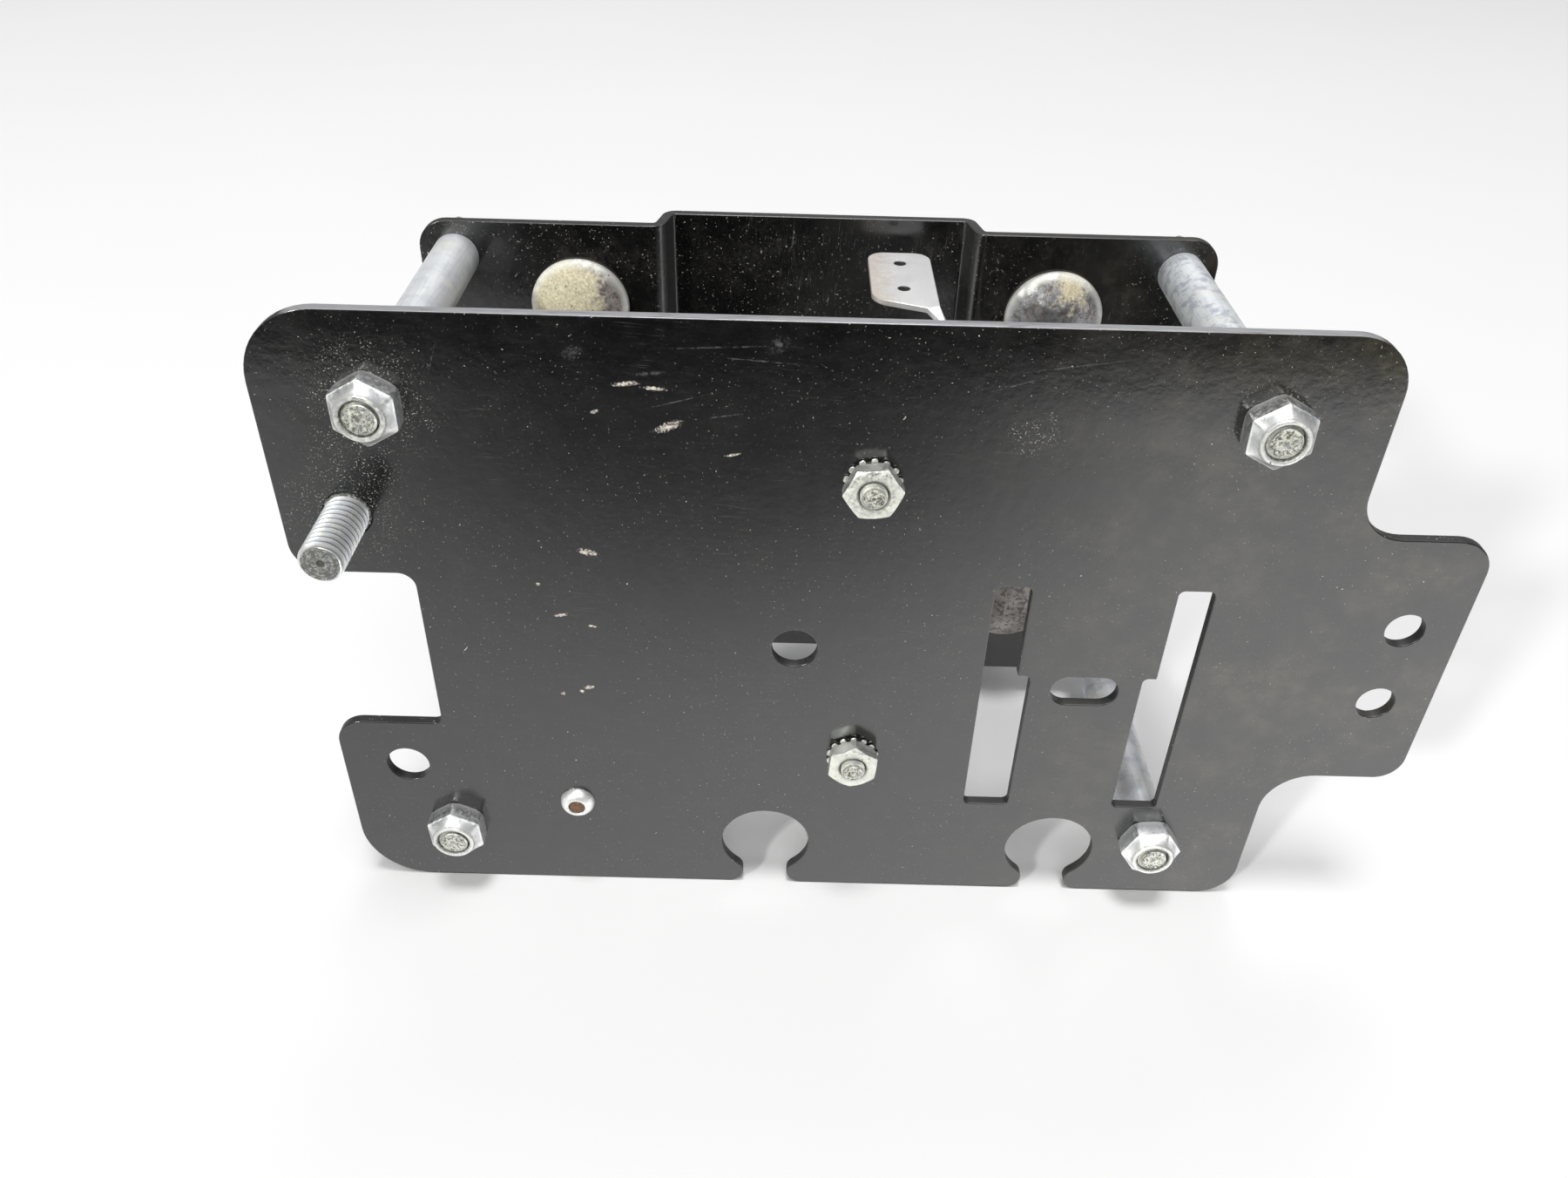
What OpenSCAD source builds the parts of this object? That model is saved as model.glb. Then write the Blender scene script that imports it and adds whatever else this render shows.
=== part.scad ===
// Two-plate equipment mounting bracket.
// A shaped front plate stands off a joggled rear bracket on four spacers, each held by a through bolt
// and a lock nut. A bent harness bracket hangs behind the front plate on two small screws, and four
// carriage bolts point backwards out of the rear bracket.
// Frame: +X to the right of the front plate, +Y from the front plate to the rear bracket, +Z up.
// The origin is the centre of the centre hole on the front face of the front plate.

/* [Front plate] */
// Thickness of the front plate
plate_t = 2.2; // [1.6:0.1:3]
// Height of the front plate
plate_h = 135; // [130:1:145]
// Width of the main body of the front plate
plate_w = 192.3; // [188:0.1:200]
// Radius of the top left corner
corner_tl = 13.5; // [4:0.5:16]
// Radius of the top right corner
corner_tr = 10.5; // [4:0.5:14]
// Radius of the bottom left corner
corner_bl = 14; // [4:0.5:15]
// Radius of the bottom right corner
corner_br = 8; // [4:0.5:12]
// How far the right tab stands out from the body
tab_out = 26.3; // [22:0.1:32]
// Height of the right tab
tab_h = 59; // [50:1:66]
// Centre height of the right tab
tab_z = -1; // [-4:0.5:4]
// Radius of the upper corner of the right tab
tab_corner_top = 7; // [3:0.5:9]
// Radius of the lower corner of the right tab
tab_corner_low = 5.3; // [3:0.1:9]
// Radius of the inside corner above the right tab
tab_fillet_top = 8.8; // [4:0.1:12]
// Radius of the inside corner below the right tab
tab_fillet_low = 9.5; // [4:0.1:12]
// Depth of the notch in the left edge
notch_depth = 22; // [18:0.5:24]
// Height of the lower edge of the notch
notch_low = -21.9; // [-24:0.1:-18]
// Height of the upper edge of the notch
notch_top = 15.5; // [12:0.1:18]
// Radius of the lower inside corner of the notch
notch_in_low = 1.8; // [1:0.1:4]
// Radius of the upper inside corner of the notch
notch_in_top = 3.2; // [1:0.1:5]
// Radius of the two outside corners beside the notch
notch_out = 5.8; // [3:0.1:8]

/* [Holes and slots] */
// Diameter of the centre hole
centre_hole_d = 8.8; // [6:0.1:12]
// Diameter of the hole in the lower left tab
left_hole_d = 8.7; // [6:0.1:12]
// Diameter of the two holes in the right tab
tab_hole_d = 7.4; // [5:0.1:10]
// Distance between the two holes in the right tab
tab_hole_pitch = 18.2; // [14:0.1:24]
// Centre of the slot group, measured along the plate
slots_x = 57.3; // [55:0.1:59]
// Distance between the straight outer edges of the two long slots
slots_span = 40.8; // [38:0.1:42]
// Width of the narrow upper part of a long slot
slot_narrow_w = 6.8; // [5:0.1:8]
// Width of the wide lower part of a long slot
slot_wide_w = 9.4; // [8.5:0.1:10]
// Height of the top of the long slots
slot_top = 15.9; // [12:0.1:20]
// Height of the step in the long slots
slot_step = -5.5; // [-8:0.1:-3]
// Height of the bottom of the long slots
slot_bottom = -41; // [-42:0.1:-38]
// Length of the oval slot
oval_l = 13.3; // [10:0.1:15]
// Width of the oval slot
oval_w = 7; // [5:0.1:8]
// Height of the centre of the oval slot
oval_z = -9; // [-12:0.1:-6]
// Diameter of the round part of a keyhole
key_d = 18.9; // [16:0.1:20]
// Width of the neck of a keyhole
key_neck = 9.6; // [8:0.1:11]
// Height of the keyhole centre above the bottom edge
key_rise = 13; // [12:0.1:14]
// Place of the left keyhole along the plate
key_left_x = -4.9; // [-8:0.1:-2]
// Place of the right keyhole along the plate
key_right_x = 57; // [54:0.1:59]

/* [Places on the front plate] */
// Distance of the lower left hole from the left edge
left_hole_in = 13.3; // [11:0.1:15]
// Height of the lower left hole
left_hole_z = -33.6; // [-36:0.1:-32]
// Distance of the tab holes from the end of the tab
tab_hole_in = 10.75; // [8:0.05:13]
// Distance of the side stud from the left edge
stud_in = 12.2; // [10:0.1:14]
// Height of the side stud
stud_z = 28.4; // [26:0.1:32]
// Place of the rivet along the plate
rivet_x = -44.9; // [-50:0.1:-35]
// Height of the rivet
rivet_z = -43.2; // [-50:0.1:-38]
// Place of the two harness screws along the plate
screw_x = 12.65; // [10:0.05:14]
// Height midway between the two harness screws
screw_z = 4.8; // [3:0.1:6]

/* [Spacing of the plates] */
// Distance between the two upper bolts along the plate
bolt_span_x = 152.4; // [150:0.1:155]
// Distance between the two lower bolts along the plate
bolt_low_span_x = 149; // [147:0.1:155]
// Distance between the bolts up the plate
bolt_span_z = 101.6; // [98:0.1:104]
// Length of the spacers
spacer_l = 63.5; // [50:0.5:76]
// Outside diameter of the spacers
spacer_d = 9.5; // [9:0.1:12]
// Inside diameter of the spacers
spacer_bore = 6.9; // [6.7:0.1:8]

/* [Rear bracket] */
// Thickness of the rear bracket
rear_t = 2.2; // [1.6:0.1:3]
// Width of the rear bracket
rear_w = 167.6; // [165:0.1:175]
// Height of the rear bracket
rear_h = 116.2; // [114:0.1:125]
// Radius of the corners of the rear bracket
rear_corner = 6; // [3:0.5:7]
// Half width of the set-back middle of the rear bracket
joggle_half = 30.4; // [26:0.1:33]
// How far the middle is set back
joggle_depth = 7.6; // [6:0.1:9]
// Angle of the joggle's web
joggle_angle = 78; // [65:1:80]
// Inside radius of the bends
bend_r = 0.8; // [0.6:0.1:1.2]

/* [Through bolts and lock nuts] */
// Diameter of the through bolts
bolt_d = 6.35; // [6:0.05:6.6]
// Width across the flats of the bolt heads and lock nuts
hex_af = 11.1; // [10:0.1:13]
// Height of a bolt head
bolt_head_h = 4; // [3:0.1:5]
// Height of a lock nut
lock_nut_h = 5.9; // [5:0.1:7]

/* [Carriage bolts] */
// Shank diameter of the carriage bolts
carriage_d = 9.525; // [8:0.025:10]
// Diameter of the domed heads
carriage_head_d = 21; // [18:0.1:22]
// Height of the domed heads
carriage_head_h = 5.3; // [4:0.1:6]
// Length of a carriage bolt under its head
carriage_l = 25.4; // [20:0.1:40]
// Distance between the carriage bolts along the bracket
carriage_span_x = 101.6; // [98:0.1:104]
// Distance between the carriage bolts up the bracket
carriage_span_z = 76.2; // [70:0.1:78]
// Centre height of the carriage bolts
carriage_z = 2.2; // [0:0.1:4]

/* [Side stud and rivet] */
// Thread diameter of the side stud
stud_d = 7.94; // [6:0.02:8]
// Diameter of the serrated collar that holds the side stud in the plate
stud_collar_d = 8.6; // [8.4:0.1:9.4]
// How far the side stud stands out in front
stud_out = 15.6; // [10:0.1:20]
// Diameter of the rivet head
rivet_head_d = 7.2; // [6:0.1:9]
// Height of the rivet head
rivet_head_h = 2.5; // [1.5:0.1:3]

/* [Harness bracket] */
// Thickness of the harness bracket
harness_t = 1.2; // [1:0.1:2]
// Width of the foot on the front plate
foot_w = 24.5; // [23:0.5:26]
// Width of the tab
lug_w = 13; // [10:0.1:14]
// Length of the tab
lug_l = 27.8; // [22:0.1:29]
// Distance between the two screws
screw_span = 65.4; // [60:0.1:70]
// Diameter of the screws
screw_d = 4.8; // [4:0.1:5]
// How far a screw stands out of its nut
screw_out = 1.3; // [0.5:0.1:3]
// Width across the flats of a keps nut
keps_af = 9.5; // [8:0.1:10]
// Height of a keps nut without its washer
keps_h = 3.1; // [2.5:0.1:4]
// Diameter of a toothed washer over its teeth
washer_d = 10.7; // [10:0.1:12]
// Number of teeth on a toothed washer
washer_teeth = 14; // [10:1:18]

/* [Hidden] */
$fn = 64;

// Colours
black_paint = [0.06, 0.06, 0.065];
zinc = [0.72, 0.73, 0.74];
zinc_dull = [0.62, 0.66, 0.70];
worn_zinc = [0.70, 0.67, 0.58];
pale_grey = [0.80, 0.80, 0.79];
bright_rivet = [0.88, 0.88, 0.86];
rust = [0.36, 0.24, 0.17];

// Places on the front plate
body_x = 3.35;
bottom_z = -plate_h / 2;
top_z = plate_h / 2;
left_x = body_x - plate_w / 2;
right_x = body_x + plate_w / 2;
tab_x = right_x + tab_out;
tab_low = tab_z - tab_h / 2;
tab_top = tab_z + tab_h / 2;
notch_x = left_x + notch_depth;
left_hole = [left_x + left_hole_in, left_hole_z];
tab_hole_x = tab_x - tab_hole_in;
stud_at = [left_x + stud_in, stud_z];
rivet_at = [rivet_x, rivet_z];

// Places behind the front plate
rear_y = plate_t + spacer_l;
bolt_at = [for (row = [[1, bolt_span_x], [-1, bolt_low_span_x]], sx = [-1, 1])
    [body_x + sx * row[1] / 2, row[0] * bolt_span_z / 2]];
carriage_at = [for (sz = [1, -1], sx = [-1, 1])
    [body_x + sx * carriage_span_x / 2, carriage_z + sz * carriage_span_z / 2]];
screw_at = [for (sz = [1, -1]) [screw_x, screw_z + sz * screw_span / 2]];

// Radius of the corners of the long slots
slot_r = 1.2;

// Clearances
bolt_hole_d = bolt_d + 0.5;
screw_hole_d = screw_d + 0.4;
square_hole = carriage_d + 0.2;
thread_gap = 0.1;

// How far a cut runs past the surface it opens
cut = 1;

// Joggle: two bends of the same radius joined by a straight web
bend_mid = bend_r + rear_t / 2;
bend_out = bend_r + rear_t;
web_l = (joggle_depth - 2 * bend_mid * (1 - cos(joggle_angle))) / sin(joggle_angle);
flange_x = joggle_half + 2 * bend_mid * sin(joggle_angle) + web_l * cos(joggle_angle);

// Keyhole: radius of the two lobes that meet the round part and the bottom edge smoothly
key_r = key_d / 2;
key_half = key_neck / 2;
key_sum = key_rise + key_r - key_half;
lobe_r = key_sum - sqrt(key_sum * key_sum - key_half * key_half - key_rise * key_rise + key_r * key_r);
lobe_x = key_half + lobe_r;
lobe_angle = atan2(key_rise - lobe_r, lobe_x);

// Fastener details
hex_round_d = hex_af * 1.2;
hex_crown_d = hex_af * 0.98;
hex_flare_d = hex_af * 1.45;
nut_base_h = lock_nut_h * 0.62;
nut_crest_d = bolt_d + 2;
nut_turn = [30, 28, 27, 56];
end_chamfer = 0.7;
neck_l = 4.5;
head_rim = 0.9;
stud_head_d = 12;
stud_head_h = 1.4;
washer_t = 0.9;
keps_chamfer = 0.6;
screw_end_d = 3.8;
screw_head_d = 9.2;
screw_crown_d = 6.4;
screw_head_h = 2.7;
screw_rim_h = 1.1;
rivet_d = 4.8;
rivet_blind_d = 6.6;
rivet_blind_h = 4.2;
mandrel_d = 3.3;
mandrel_sunk = 0.5;
mandrel_knob_d = 5.3;
mandrel_knob_h = 1.4;
tooth_gap = [2.2, 0.9];
keps_turn = [55, 34];
keps_round_d = keps_af * 1.2;
keps_crown_d = keps_af * 0.98;

// Harness bracket: foot on the front plate, upright web beside it, tab over the gap, neck between
foot_end = 8;
foot_side = 7;
foot_low = screw_z - screw_span / 2 - foot_end;
foot_top = screw_z + screw_span / 2 + foot_end;
foot_x = screw_x - foot_side;
web_x = foot_x + foot_w - harness_t;
web_low = 8;
web_top = 47;
web_back_y = 38;
web_end_h = 11;
web_end_l = 4;
lug_x = 13.5;
lug_z = 51.9;
lug_near_y = 39.8;
lug_slant = 2.6;
lug_near_r = 4.5;
lug_far_r = 3.6;
lug_hole_d = 2.2;
lug_holes = [8.9, 21.9];
neck_w = 2.6;
neck_low = [26, 37.9, 50.6];

function arc(c, r, a0, a1, n) = [for (i = [0 : n]) let (a = a0 + (a1 - a0) * i / n)
    [c[0] + r * cos(a), c[1] + r * sin(a)]];

// Stands a flat shape up as a sheet whose near face is at y
module sheet(y, t) {
    translate([0, y + t, 0]) rotate([90, 0, 0]) linear_extrude(t) children();
}

// Points an upright shape along +Y, from the point at = [x, z]
module along_y(at, y) {
    translate([at[0], y, at[1]]) rotate([-90, 0, 0]) children();
}

// The sliver between a square corner and its arc; the corner is at p and dir points inwards
module corner_sliver(p, dir, r) {
    translate(p) mirror([dir[0] < 0 ? 1 : 0, 0]) mirror([0, dir[1] < 0 ? 1 : 0]) difference() {
        square(r);
        translate([r, r]) circle(r);
    }
}

module rounded_bar(size, r) {
    difference() {
        square(size);
        for (i = [0, 1], j = [0, 1])
            corner_sliver([i * size[0], j * size[1]], [1 - 2 * i, 1 - 2 * j], r);
    }
}

module plate_outline() {
    difference() {
        union() {
            translate([left_x, bottom_z]) square([plate_w, plate_h]);
            translate([right_x - cut, tab_low]) square([tab_out + cut, tab_h]);
        }
        corner_sliver([left_x, top_z], [1, -1], corner_tl);
        corner_sliver([right_x, top_z], [-1, -1], corner_tr);
        corner_sliver([left_x, bottom_z], [1, 1], corner_bl);
        corner_sliver([right_x, bottom_z], [-1, 1], corner_br);
        corner_sliver([tab_x, tab_top], [-1, -1], tab_corner_top);
        corner_sliver([tab_x, tab_low], [-1, 1], tab_corner_low);
        corner_sliver([left_x, notch_top], [1, 1], notch_out);
        corner_sliver([left_x, notch_low], [1, -1], notch_out);
    }
    corner_sliver([right_x, tab_top], [1, 1], tab_fillet_top);
    corner_sliver([right_x, tab_low], [1, -1], tab_fillet_low);
}

module left_notch() {
    difference() {
        translate([left_x - cut, notch_low]) square([notch_depth + cut, notch_top - notch_low]);
        corner_sliver([notch_x, notch_top], [-1, -1], notch_in_top);
        corner_sliver([notch_x, notch_low], [-1, 1], notch_in_low);
    }
}

// One of the two stepped slots; side is -1 for the left one and 1 for the right one
module long_slot(side) {
    translate([slots_x + side * slots_span / 2, 0]) mirror([side > 0 ? 1 : 0, 0]) {
        translate([0, slot_bottom]) rounded_bar([slot_wide_w, slot_step - slot_bottom], slot_r);
        translate([0, slot_step - 2 * slot_r]) square([slot_narrow_w, 4 * slot_r]);
        translate([0, slot_step]) rounded_bar([slot_narrow_w, slot_top - slot_step], slot_r);
    }
}

module oval_slot() {
    translate([slots_x, oval_z]) {
        square([oval_l - oval_w, oval_w], center = true);
        for (s = [-1, 1]) translate([s * (oval_l - oval_w) / 2, 0]) circle(d = oval_w);
    }
}

module keyhole(x) {
    translate([x, bottom_z]) polygon(concat(
        arc([lobe_x, lobe_r], lobe_r, 270, 180 - lobe_angle, 12),
        arc([0, key_rise], key_r, -lobe_angle, 180 + lobe_angle, 40),
        arc([-lobe_x, lobe_r], lobe_r, lobe_angle, -90, 12),
        [[-lobe_x, -cut], [lobe_x, -cut]]
    ));
}

module front_plate() {
    color(black_paint) sheet(0, plate_t) difference() {
        plate_outline();
        left_notch();
        circle(d = centre_hole_d);
        translate(left_hole) circle(d = left_hole_d);
        for (s = [-1, 1]) translate([tab_hole_x, tab_z + s * tab_hole_pitch / 2]) circle(d = tab_hole_d);
        for (p = bolt_at) translate(p) circle(d = bolt_hole_d);
        for (p = screw_at) translate(p) circle(d = screw_hole_d);
        translate(stud_at) circle(d = stud_collar_d + thread_gap);
        translate(rivet_at) circle(d = rivet_d + thread_gap);
        long_slot(-1);
        long_slot(1);
        oval_slot();
        keyhole(key_left_x);
        keyhole(key_right_x);
    }
}

// One side of the sheet's plan, right half, from the middle outwards; in_r and out_r are the radii
// of this side round the inner and the outer bend, and y is the height of this side of the middle
function half_path(y, in_r, out_r) = concat(
    [[0, y]],
    arc([joggle_half, joggle_depth - bend_r], in_r, 90, 90 - joggle_angle, 8),
    arc([flange_x, bend_out], out_r, 270 - joggle_angle, 270, 8),
    [[rear_w / 2, bend_out - out_r]]
);

function backwards(list) = [for (i = [len(list) - 1 : -1 : 0]) list[i]];

function mirrored(list) = [for (p = list) [-p[0], p[1]]];

module rear_plan() {
    front = half_path(joggle_depth, bend_r, bend_out);
    back = half_path(joggle_depth + rear_t, bend_out, bend_r);
    polygon(concat(backwards(mirrored(front)), front, backwards(back), mirrored(back)));
}

module rear_bracket() {
    color(black_paint) difference() {
        intersection() {
            translate([body_x, rear_y, -rear_h / 2]) linear_extrude(rear_h) rear_plan();
            sheet(rear_y - cut, joggle_depth + rear_t + 2 * cut)
                translate([body_x - rear_w / 2, -rear_h / 2]) rounded_bar([rear_w, rear_h], rear_corner);
        }
        for (p = bolt_at) along_y(p, rear_y - cut) cylinder(d = bolt_hole_d, h = rear_t + 2 * cut);
        for (p = carriage_at) along_y(p, rear_y - cut) translate([0, 0, (rear_t + 2 * cut) / 2])
            cube([square_hole, square_hole, rear_t + 2 * cut], center = true);
    }
}

module spacer(i) {
    color(zinc_dull) along_y(bolt_at[i], plate_t) difference() {
        cylinder(d = spacer_d, h = spacer_l);
        translate([0, 0, -cut]) cylinder(d = spacer_bore, h = spacer_l + 2 * cut);
    }
}

module through_bolt(i) {
    shank_l = lock_nut_h + rear_y + rear_t;
    color(zinc) along_y(bolt_at[i], -lock_nut_h) {
        cylinder(d1 = bolt_d - end_chamfer, d2 = bolt_d, h = end_chamfer / 2);
        translate([0, 0, end_chamfer / 2]) cylinder(d = bolt_d, h = shank_l - end_chamfer / 2);
        translate([0, 0, shank_l]) intersection() {
            cylinder(r = hex_af / 2 / cos(30), h = bolt_head_h, $fn = 6);
            cylinder(d1 = hex_flare_d, d2 = hex_crown_d, h = bolt_head_h);
        }
    }
}

module lock_nut(i) {
    color(zinc) along_y(bolt_at[i], -lock_nut_h) difference() {
        intersection() {
            rotate(nut_turn[i]) cylinder(r = hex_af / 2 / cos(30), h = lock_nut_h, $fn = 6);
            union() {
                cylinder(d1 = nut_crest_d, d2 = hex_round_d, h = lock_nut_h - nut_base_h);
                translate([0, 0, lock_nut_h - nut_base_h]) cylinder(d = hex_round_d, h = nut_base_h);
            }
        }
        translate([0, 0, -cut]) cylinder(d = bolt_d + thread_gap, h = lock_nut_h + 2 * cut);
    }
}

// Spherical cap of a given base diameter and height, dome towards -Y
module dome(d, h) {
    r = (d * d / 4 + h * h) / (2 * h);
    intersection() {
        translate([0, 0, r - h]) sphere(r, $fn = 96);
        translate([0, 0, -h]) cylinder(d = d, h = h);
    }
}

module carriage_bolt(i) {
    color(worn_zinc) along_y(carriage_at[i], rear_y) {
        translate([0, 0, -head_rim]) dome(carriage_head_d, carriage_head_h - head_rim);
        translate([0, 0, -head_rim]) cylinder(d = carriage_head_d, h = head_rim);
        translate([0, 0, neck_l / 2]) cube([carriage_d, carriage_d, neck_l], center = true);
        cylinder(d = carriage_d, h = carriage_l - end_chamfer);
        translate([0, 0, carriage_l - end_chamfer])
            cylinder(d1 = carriage_d, d2 = carriage_d - 2 * end_chamfer, h = end_chamfer);
    }
}

module side_stud() {
    color(zinc) along_y(stud_at, -stud_out) {
        cylinder(d1 = stud_d - 2 * end_chamfer, d2 = stud_d, h = end_chamfer);
        translate([0, 0, end_chamfer]) cylinder(d = stud_d, h = stud_out - end_chamfer);
        translate([0, 0, stud_out]) cylinder(d = stud_collar_d, h = plate_t);
        translate([0, 0, stud_out + plate_t]) cylinder(d = stud_head_d, h = stud_head_h);
    }
}

module rivet_body() {
    color(bright_rivet) along_y(rivet_at, 0) difference() {
        union() {
            dome(rivet_head_d, rivet_head_h);
            cylinder(d = rivet_d, h = plate_t);
            translate([0, 0, plate_t]) cylinder(d = rivet_blind_d, h = rivet_blind_h);
        }
        translate([0, 0, -rivet_head_h - cut])
            cylinder(d = mandrel_d, h = rivet_head_h + plate_t + rivet_blind_h + 2 * cut);
    }
}

module rivet_mandrel() {
    mandrel_l = rivet_head_h - mandrel_sunk + plate_t + rivet_blind_h;
    color(rust) along_y(rivet_at, mandrel_sunk - rivet_head_h) {
        cylinder(d = mandrel_d - thread_gap, h = mandrel_l);
        translate([0, 0, mandrel_l]) mirror([0, 0, 1]) dome(mandrel_knob_d, mandrel_knob_h);
    }
}

// Upright web of the harness bracket, drawn from the side and tapering towards the tab
module harness_web() {
    translate([web_x, 0, 0]) rotate([90, 0, 90]) linear_extrude(harness_t) polygon([
        [plate_t, web_low], [plate_t, web_top], [web_back_y, web_top],
        [web_back_y, web_top - web_end_h], [plate_t + web_end_h, web_low]
    ]);
}

// The tab seen from above: three round corners, and a square one at [lug_w, 0] where the neck leaves it
module lug_outline() {
    hull() {
        translate([lug_far_r, lug_l - lug_far_r]) circle(lug_far_r);
        translate([lug_w - lug_far_r, lug_l - lug_far_r]) circle(lug_far_r);
        translate([lug_near_r, lug_slant + lug_near_r]) circle(lug_near_r);
        translate([lug_w - neck_w, 0]) square(neck_w);
    }
}

// Narrow strip that curls down from the tab to the top of the web
module harness_neck() {
    hull() {
        translate([lug_x + lug_w - neck_w, lug_near_y, lug_z]) cube([neck_w, harness_t, harness_t]);
        translate(neck_low) cube(harness_t);
    }
    hull() {
        translate(neck_low) cube(harness_t);
        translate([web_x, web_back_y - web_end_l, web_top - harness_t])
            cube([harness_t, web_end_l, harness_t]);
    }
}

module harness_bracket() {
    color(pale_grey) difference() {
        union() {
            translate([foot_x, plate_t, foot_low]) cube([foot_w, harness_t, foot_top - foot_low]);
            harness_web();
            harness_neck();
            translate([lug_x, lug_near_y, lug_z]) linear_extrude(harness_t) lug_outline();
        }
        for (p = screw_at) along_y(p, plate_t - cut) cylinder(d = screw_hole_d, h = harness_t + 2 * cut);
        for (y = lug_holes) translate([lug_x + lug_w / 2, lug_near_y + y, lug_z - cut])
            cylinder(d = lug_hole_d, h = harness_t + 2 * cut);
    }
}

module harness_screw(i) {
    back = plate_t + harness_t;
    front = washer_t + keps_h + screw_out;
    color(zinc) along_y(screw_at[i], -front) {
        cylinder(d1 = screw_end_d, d2 = screw_d, h = end_chamfer);
        translate([0, 0, end_chamfer]) cylinder(d = screw_d, h = front + back - end_chamfer);
        translate([0, 0, front + back]) cylinder(d = screw_head_d, h = screw_rim_h);
        translate([0, 0, front + back + screw_rim_h])
            cylinder(d1 = screw_head_d, d2 = screw_crown_d, h = screw_head_h - screw_rim_h);
    }
}

module tooth_washer(i) {
    tooth_pitch = 360 / washer_teeth;
    color(zinc) along_y(screw_at[i], -washer_t) linear_extrude(washer_t) difference() {
        circle(d = washer_d);
        circle(d = screw_d + 2 * thread_gap);
        for (k = [0 : washer_teeth - 1]) rotate(k * tooth_pitch) translate([washer_d / 2, 0])
            square(tooth_gap, center = true);
    }
}

module keps_nut(i) {
    color(zinc) along_y(screw_at[i], -washer_t - keps_h) difference() {
        intersection() {
            rotate(keps_turn[i]) cylinder(r = keps_af / 2 / cos(30), h = keps_h, $fn = 6);
            union() {
                cylinder(d1 = keps_crown_d, d2 = keps_round_d, h = keps_chamfer);
                translate([0, 0, keps_chamfer]) cylinder(d = keps_round_d, h = keps_h - keps_chamfer);
            }
        }
        translate([0, 0, -cut]) cylinder(d = screw_d + thread_gap, h = keps_h + 2 * cut);
    }
}

front_plate();
rear_bracket();
spacer(0);  // spacer_top_left
spacer(1);  // spacer_top_right
spacer(2);  // spacer_bottom_left
spacer(3);  // spacer_bottom_right
through_bolt(0);  // through_bolt_top_left
through_bolt(1);  // through_bolt_top_right
through_bolt(2);  // through_bolt_bottom_left
through_bolt(3);  // through_bolt_bottom_right
lock_nut(0);  // lock_nut_top_left
lock_nut(1);  // lock_nut_top_right
lock_nut(2);  // lock_nut_bottom_left
lock_nut(3);  // lock_nut_bottom_right
carriage_bolt(0);  // carriage_bolt_top_left
carriage_bolt(1);  // carriage_bolt_top_right
carriage_bolt(2);  // carriage_bolt_bottom_left
carriage_bolt(3);  // carriage_bolt_bottom_right
side_stud();
rivet_body();
rivet_mandrel();
harness_bracket();
harness_screw(0);  // harness_screw_upper
harness_screw(1);  // harness_screw_lower
tooth_washer(0);  // tooth_washer_upper
tooth_washer(1);  // tooth_washer_lower
keps_nut(0);  // keps_nut_upper
keps_nut(1);  // keps_nut_lower
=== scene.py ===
# Looks for the two-plate mounting bracket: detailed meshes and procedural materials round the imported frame.
import math

import bmesh
import bpy
import numpy as np
from mathutils import Matrix, Vector, noise


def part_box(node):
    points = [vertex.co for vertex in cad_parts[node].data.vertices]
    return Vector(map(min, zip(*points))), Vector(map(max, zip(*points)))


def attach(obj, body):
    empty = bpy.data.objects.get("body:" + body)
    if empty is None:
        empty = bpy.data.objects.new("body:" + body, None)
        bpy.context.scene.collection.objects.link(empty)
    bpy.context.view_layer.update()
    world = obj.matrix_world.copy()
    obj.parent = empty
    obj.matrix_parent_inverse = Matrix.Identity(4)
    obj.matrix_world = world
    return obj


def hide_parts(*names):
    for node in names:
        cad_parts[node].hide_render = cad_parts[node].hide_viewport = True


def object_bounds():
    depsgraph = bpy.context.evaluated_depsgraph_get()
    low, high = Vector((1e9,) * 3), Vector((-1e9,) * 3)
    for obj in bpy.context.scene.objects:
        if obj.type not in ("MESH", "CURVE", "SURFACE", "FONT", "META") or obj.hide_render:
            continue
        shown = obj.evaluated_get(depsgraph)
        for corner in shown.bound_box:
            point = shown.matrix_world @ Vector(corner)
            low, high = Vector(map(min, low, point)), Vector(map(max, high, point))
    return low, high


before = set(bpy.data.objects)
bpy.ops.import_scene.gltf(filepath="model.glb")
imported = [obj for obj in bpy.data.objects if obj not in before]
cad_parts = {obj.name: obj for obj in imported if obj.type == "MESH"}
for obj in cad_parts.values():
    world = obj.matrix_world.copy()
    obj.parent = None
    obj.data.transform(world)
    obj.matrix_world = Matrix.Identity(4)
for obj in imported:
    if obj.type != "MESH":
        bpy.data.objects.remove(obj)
cad_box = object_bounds()

MM = 0.001
FLOOR_Z = cad_box[0][2]
PAINTED_EDGE, CLIP_EDGE = 0.26, 0.2

# Corner, the turn of its bolt and nut in degrees, and how stained its spacer is from 0 to 1
CORNERS = (
    ("top_left", 30, 0.2), ("top_right", 32, 0.75), ("bottom_left", 33, 0.4), ("bottom_right", 4, 0.45),
)

# Carriage bolt heads: corner, the side the crust is thickest on, the crust's share, and both tones
HEADS = (
    ("top_left", (-3.0, 3.0), 0.50, (0.70, 0.63, 0.44), (0.44, 0.40, 0.37)),
    ("top_right", (2.5, 8.0), 0.27, (0.66, 0.58, 0.40), (0.30, 0.30, 0.31)),
    ("bottom_left", (0.0, 8.0), 0.10, (0.55, 0.47, 0.32), (0.60, 0.58, 0.55)),
    ("bottom_right", (6.0, 6.0), 0.15, (0.50, 0.42, 0.30), (0.55, 0.52, 0.49)),
)

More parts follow.
